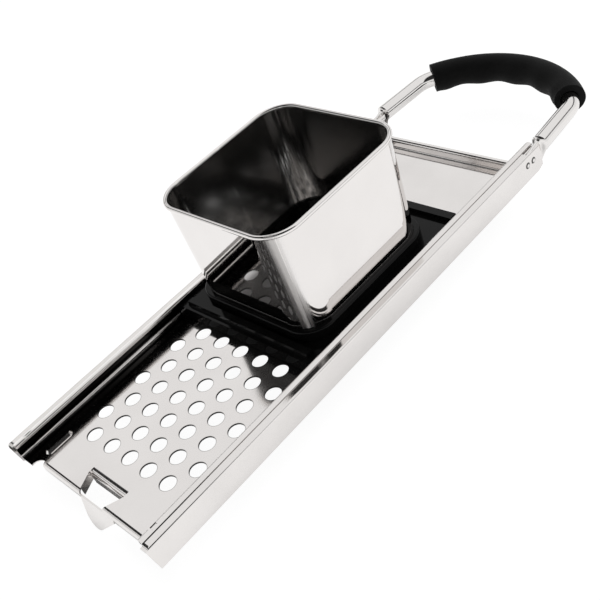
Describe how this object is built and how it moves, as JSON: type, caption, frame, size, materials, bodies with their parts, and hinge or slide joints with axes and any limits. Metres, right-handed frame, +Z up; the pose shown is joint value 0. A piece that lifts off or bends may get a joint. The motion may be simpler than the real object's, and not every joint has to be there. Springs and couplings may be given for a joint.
{
  "type": "spaetzle maker",
  "caption": "Perforated metal tray with rails, bow handle and a square dough hopper on a sliding black base, laid across a pot to press soft dough through the holes",
  "frame": {"origin": "under the middle of the whole tool's plan, level with the tip of the pot tongue", "axes": "+X along the tray towards the handle, +Y across to the left rail, +Z up; the hopper stands upright on the tray"},
  "size_m": [0.3553, 0.1166, 0.0857],
  "materials": {
    "stainless": "polished, mirror bright",
    "grip": "soft black grip, satin",
    "slider": "polished black plastic"
  },
  "bodies": {
    "tray_body": {"tray": "stainless", "left_rail": "stainless", "right_rail": "stainless", "handle_bow": "stainless", "handle_grip": "grip", "handle_rivets": "stainless"},
    "slider_body": {"hopper": "stainless", "slider_base": "slider"}
  },
  "joints": [
    {"name": "slider_travel", "type": "slide", "parent": "tray_body", "child": "slider_body", "axis": [1, 0, 0], "range_m": [-0.0818, 0.0476]}
  ]
}
